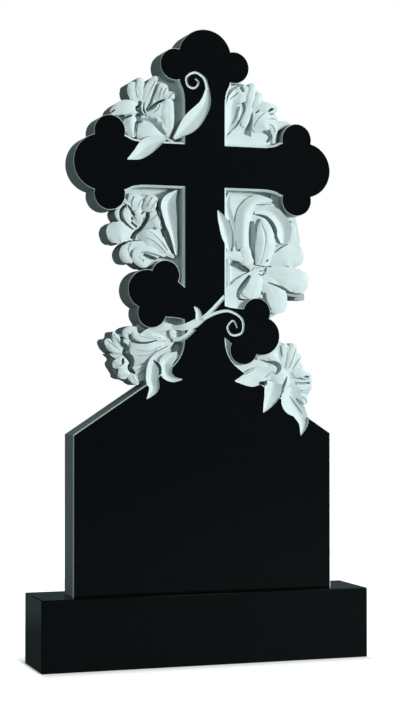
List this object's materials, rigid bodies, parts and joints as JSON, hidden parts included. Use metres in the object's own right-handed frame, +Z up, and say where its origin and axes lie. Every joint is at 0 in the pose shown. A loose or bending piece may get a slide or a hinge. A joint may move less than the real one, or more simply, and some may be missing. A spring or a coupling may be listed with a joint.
{
  "type": "cross headstone",
  "caption": "Polished black stone headstone: a trefoil-ended cross with a slanted lower bar and carved lilies rises from a gabled panel and stands on a plain plinth.",
  "frame": {"origin": "middle of the plinth's underside", "axes": "+Z up, -Y out of the carved face, +X to the right of someone facing it"},
  "size_m": [0.725, 0.15, 1.35],
  "materials": {
    "black_stone": "polished face, pale carved relief, sawn sides"
  },
  "bodies": {
    "root": {"stele": "black_stone", "plinth": "black_stone"}
  },
  "joints": []
}
